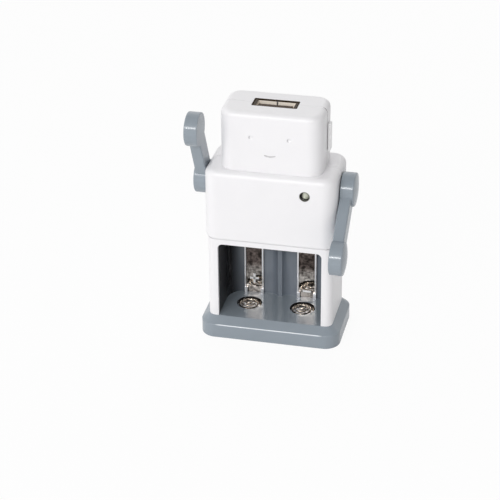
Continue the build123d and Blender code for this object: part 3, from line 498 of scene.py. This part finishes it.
def finishes():
    """Material for each material slot of the record, for some nodes and for the pieces."""
    return {
        "white_shell": shell_plastic(),
        "grey_plastic": moulded_plastic("grey_abs", GREY_ABS, 0.17),
        "plinth": plinth_plastic(),
        # whiter than the shell: painted light on the bar, which the head shades
        "switch_slider": moulded_plastic("slider_painted_light_white", (0.98, 0.98, 0.98), 0.3, mottle=0.006),
        "bay_grey": bay_plastic(),
        "bay_black": moulded_plastic("bay_black_abs", BAY_BLACK_AND_SHADE, 0.3, mottle=0.1),
        "nickel_strip": strip_nickel(),
        "spring_steel": spring_wire(),
        "socket_steel": socket_metal(),
        "socket_insert": matt_plastic("socket_insert", (0.10, 0.075, 0.06)),
        "contact_gold": plated_metal("contact_gold", (0.83, 0.62, 0.28), 0.2),
        "screw_steel": plated_metal("screw_zinc", (0.58, 0.58, 0.60), 0.3),
        "board_green": board_green(),
        "component_black": moulded_plastic("component_black", (0.02, 0.02, 0.02), 0.4),
        "capacitor_tan": moulded_plastic("capacitor_tan", (0.40, 0.27, 0.13), 0.4),
        "led_lens": lamp_lens(),
        "flex_amber": moulded_plastic("flex_amber", (0.45, 0.18, 0.04), 0.3),
        "print_white": moulded_plastic("print_white", (0.97, 0.97, 0.98), 0.25, mottle=0.004),
        # painted shade round the socket's mouth
        "shade_frame_brown": matt_plastic("shade_frame_brown", (0.035, 0.024, 0.014)),
        # painted shade in the status light's hole
        "shade_sleeve_grey": moulded_plastic("shade_sleeve_grey", (0.11, 0.11, 0.09), 0.4),
        "washer_black": moulded_plastic("washer_rubber", (0.015, 0.015, 0.017), 0.6),
    }


def dress_nodes(materials):
    """Gives each CAD node its own finish, or else the one of its material slot."""
    for row in frame["record"]["subparts"]:
        mesh = frame["nodes"][row["node"]].data
        mesh.materials.clear()
        mesh.materials.append(materials.get(row["node"], materials[row["material_slot"]]))


# ---- camera, light and floor -------------------------------------------------------
def place_camera():
    """Camera of the photograph, rolled a little about its own line of sight."""
    forward = -towards(CAMERA_AZIMUTH, CAMERA_ELEVATION)
    level = Vector((cos(CAMERA_AZIMUTH), sin(CAMERA_AZIMUTH), 0))
    upright = level.cross(forward)
    right = level * cos(CAMERA_ROLL) + upright * sin(CAMERA_ROLL)
    up = upright * cos(CAMERA_ROLL) - level * sin(CAMERA_ROLL)
    turn = Matrix((right, up, -forward)).transposed().to_4x4()
    data = bpy.data.cameras.new("camera")
    data.lens = FOCAL_PIXELS / PHOTO_PIXELS * SENSOR_MM
    data.sensor_width = SENSOR_MM
    data.clip_start = CAMERA_CLIP_START
    camera = put_in_scene("camera", data)
    camera.matrix_world = Matrix.Translation(CAMERA_AIM - forward * CAMERA_DISTANCE) @ turn
    bpy.context.scene.camera = camera


def area_light(name, azimuth, elevation, distance, width, height, power):
    """Rectangular lamp aimed at the object's middle; angles in degrees."""
    data = bpy.data.lights.new(name, "AREA")
    data.shape = "RECTANGLE"
    data.size = width
    data.size_y = height
    data.energy = power
    offset = towards(radians(azimuth), radians(elevation))
    lamp = put_in_scene(name, data)
    lamp.location = LAMP_AIM + offset * distance
    lamp.rotation_euler = (-offset).to_track_quat("-Z", "Y").to_euler()


def seen_by(owner, rays):
    """1 for rays of the named kinds."""
    path = owner.node_tree.nodes.new("ShaderNodeLightPath")
    seen = path.outputs[rays[0]]
    for ray in rays[1:]:
        seen = combine(owner, "MAXIMUM", seen, path.outputs[ray])
    return seen


def mix_shaders(owner, share, first, second, output):
    """Blends two shaders into the output: the first at share 0, the second at 1."""
    link = owner.node_tree.links.new
    mix = owner.node_tree.nodes.new("ShaderNodeMixShader")
    for socket, source in zip(mix.inputs, (share, first.outputs[0], second.outputs[0])):
        link(source, socket)
    link(mix.outputs[0], output.inputs["Surface"])


def studio_world():
    """White room: bright walls, dim ceiling, and less light from the right.

    The camera, glass and mirrors see the room without the fall on the right.
    """
    world = bpy.data.worlds.new("world")
    bpy.context.scene.world = world
    output = bare_tree(world, "ShaderNodeOutputWorld")
    nodes = world.node_tree.nodes
    link = world.node_tree.links.new
    split = nodes.new("ShaderNodeSeparateXYZ")
    link(nodes.new("ShaderNodeTexCoord").outputs["Generated"], split.inputs[0])
    room = nodes.new("ShaderNodeValToRGB")
    room.color_ramp.interpolation = "EASE"
    for element, (height, level) in zip(room.color_ramp.elements, ROOM_LEVELS):
        element.position = height
        element.color = (level, level, level, 1)
    link(split.outputs["Z"], room.inputs["Fac"])
    light = nodes.new("ShaderNodeBackground")
    backdrop = nodes.new("ShaderNodeBackground")
    for background in (light, backdrop):
        link(room.outputs["Color"], background.inputs["Color"])
    fall = (RIGHT_FALL_FROM, RIGHT_FALL_TO)
    side = map_range(world, split.outputs["X"], fall, (1.0, RIGHT_LEVEL))
    link(side, light.inputs["Strength"])
    seen = seen_by(world, ("Is Camera Ray", "Is Transmission Ray", "Is Glossy Ray"))
    mix_shaders(world, seen, light, backdrop, output)


def floor_paper():
    """White to the camera and half white to mirrors, but it keeps a soft shadow."""
    material = bpy.data.materials.new("floor_paper")
    output = bare_tree(material, "ShaderNodeOutputMaterial")
    nodes = material.node_tree.nodes
    paper = nodes.new("ShaderNodeBsdfDiffuse")
    paper.inputs["Color"].default_value = (FLOOR_PAPER, FLOOR_PAPER, FLOOR_PAPER, 1)
    glow = nodes.new("ShaderNodeEmission")
    glow.inputs["Strength"].default_value = 1.0
    seen = seen_by(material, ("Is Camera Ray", "Is Transmission Ray"))
    white = combine(material, "MULTIPLY", seen, FLOOR_WHITE_SHARE)
    mirrored = seen_by(material, ("Is Glossy Ray",))
    glossy = combine(material, "MULTIPLY", mirrored, FLOOR_GLOSSY_SHARE)
    mix_shaders(material, combine(material, "ADD", white, glossy), paper, glow, output)
    return material


def pale_floor():
    """Wide square floor under the plinth."""
    mesh = bpy.data.meshes.new("floor")
    half = FLOOR_HALF
    corners = [(-half, -half, 0), (half, -half, 0), (half, half, 0), (-half, half, 0)]
    mesh.from_pydata(corners, [], [(0, 1, 2, 3)])
    mesh.materials.append(floor_paper())
    floor = put_in_scene("floor", mesh)


def light_studio():
    """Room, key lamp with a narrow bright core, and a lamp behind."""
    studio_world()
    for lamp in LAMPS:
        area_light(*lamp)


# ---- pieces of the scene -----------------------------------------------------------
def mesh_piece(name, work, material):
    """Object of a finished bmesh, in one material."""
    mesh = bpy.data.meshes.new(name)
    work.to_mesh(mesh)
    work.free()
    mesh.materials.append(material)
    return put_in_scene(name, mesh)


def closed_band(work, rings):
    """Joins neighbouring rings of points, and the last to the first, with faces."""
    for first, second in zip(rings, rings[1:] + rings[:1]):
        for step in range(len(first)):
            after = (step + 1) % len(first)
            work.faces.new((first[step], first[after], second[after], second[step]))
    bmesh.ops.recalc_face_normals(work, faces=work.faces)


def printed_mark(name, bars, material):
    """Raised print on the bay's wall: upright bars (x, z, width, height), millimetres."""
    work = bmesh.new()
    thickness = MARK_THICKNESS * MM
    for x, z, width, height in bars:
        made = bmesh.ops.create_cube(work, size=1.0)
        bmesh.ops.scale(work, vec=(width * MM, thickness, height * MM), verts=made["verts"])
        middle = (x * MM, MARK_FACE_Y * MM - thickness / 2, z * MM)
        bmesh.ops.translate(work, vec=middle, verts=made["verts"])
    edge = thickness * MARK_EDGE_SHARE
    bmesh.ops.bevel(work, geom=list(work.edges), offset=edge, segments=2, affect="EDGES")
    return mesh_piece(name, work, material)


def polarity_marks(materials):
    """Plus on the positive strip and minus on the negative one."""
    strip_low, strip_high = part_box("positive_strip")
    x = (strip_low.x + strip_high.x) / 2 / MM
    plus_bars = [(x, PLUS_Z, *size) for size in PLUS_BARS]
    plus = printed_mark("plus_mark", plus_bars, materials["print_white"])
    minus = printed_mark("minus_mark", [(-x, MINUS_Z, *MINUS_BAR)], materials["print_white"])
    for piece in (plus, minus):
        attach(piece, "base_unit")


def lamp_shade_sleeve(materials):
    """Dark sleeve that lines the status light's hole: painted shade in the gap round the lens."""
    work = bmesh.new()
    rings = []
    for radius, y in SHADE_SLEEVE_PROFILE:
        ring = []
        for step in range(SHADE_SLEEVE_SIDES):
            angle = 2 * pi * step / SHADE_SLEEVE_SIDES
            spot = (LED_X + radius * cos(angle), y, LED_Z + radius * sin(angle))
            ring.append(work.verts.new([value * MM for value in spot]))
        rings.append(ring)
    closed_band(work, rings)
    piece = mesh_piece("lamp_shade_sleeve", work, materials["shade_sleeve_grey"])
    piece.data.shade_smooth()
    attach(piece, "upper_unit")


def slot_outline(inset, z):
    """Points round the slot in the head, a little inside its edge, millimetres."""
    half_x = SLOT_WIDTH / 2 - inset
    half_y = SLOT_DEPTH / 2 - inset
    corner = max(SHADE_FRAME_LEAST_CORNER, SLOT_CORNER - inset)
    points = []
    for quarter, (sign_x, sign_y) in enumerate(((1, 1), (-1, 1), (-1, -1), (1, -1))):
        for step in range(SHADE_FRAME_CORNER_STEPS + 1):
            angle = (quarter + step / SHADE_FRAME_CORNER_STEPS) * pi / 2
            x = sign_x * (half_x - corner) + corner * cos(angle)
            y = sign_y * (half_y - corner) + corner * sin(angle) + SLOT_Y
            points.append((x, y, z))
    return points


def socket_shade_frame(materials):
    """Thin dark frame of painted shade between the socket's mouth and the slot in the head."""
    work = bmesh.new()
    rings = []
    for inset, z in SHADE_FRAME_PROFILE:
        outline = slot_outline(inset, z)
        rings.append([work.verts.new([value * MM for value in spot]) for spot in outline])
    closed_band(work, rings)
    piece = mesh_piece("socket_shade_frame", work, materials["shade_frame_brown"])
    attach(piece, "upper_unit")


# ---- build -------------------------------------------------------------------------
bpy.context.scene.view_settings.view_transform = "Standard"
place_camera()
light_studio()
pale_floor()
materials = finishes()
dress_nodes(materials)
polarity_marks(materials)
lamp_shade_sleeve(materials)
socket_shade_frame(materials)
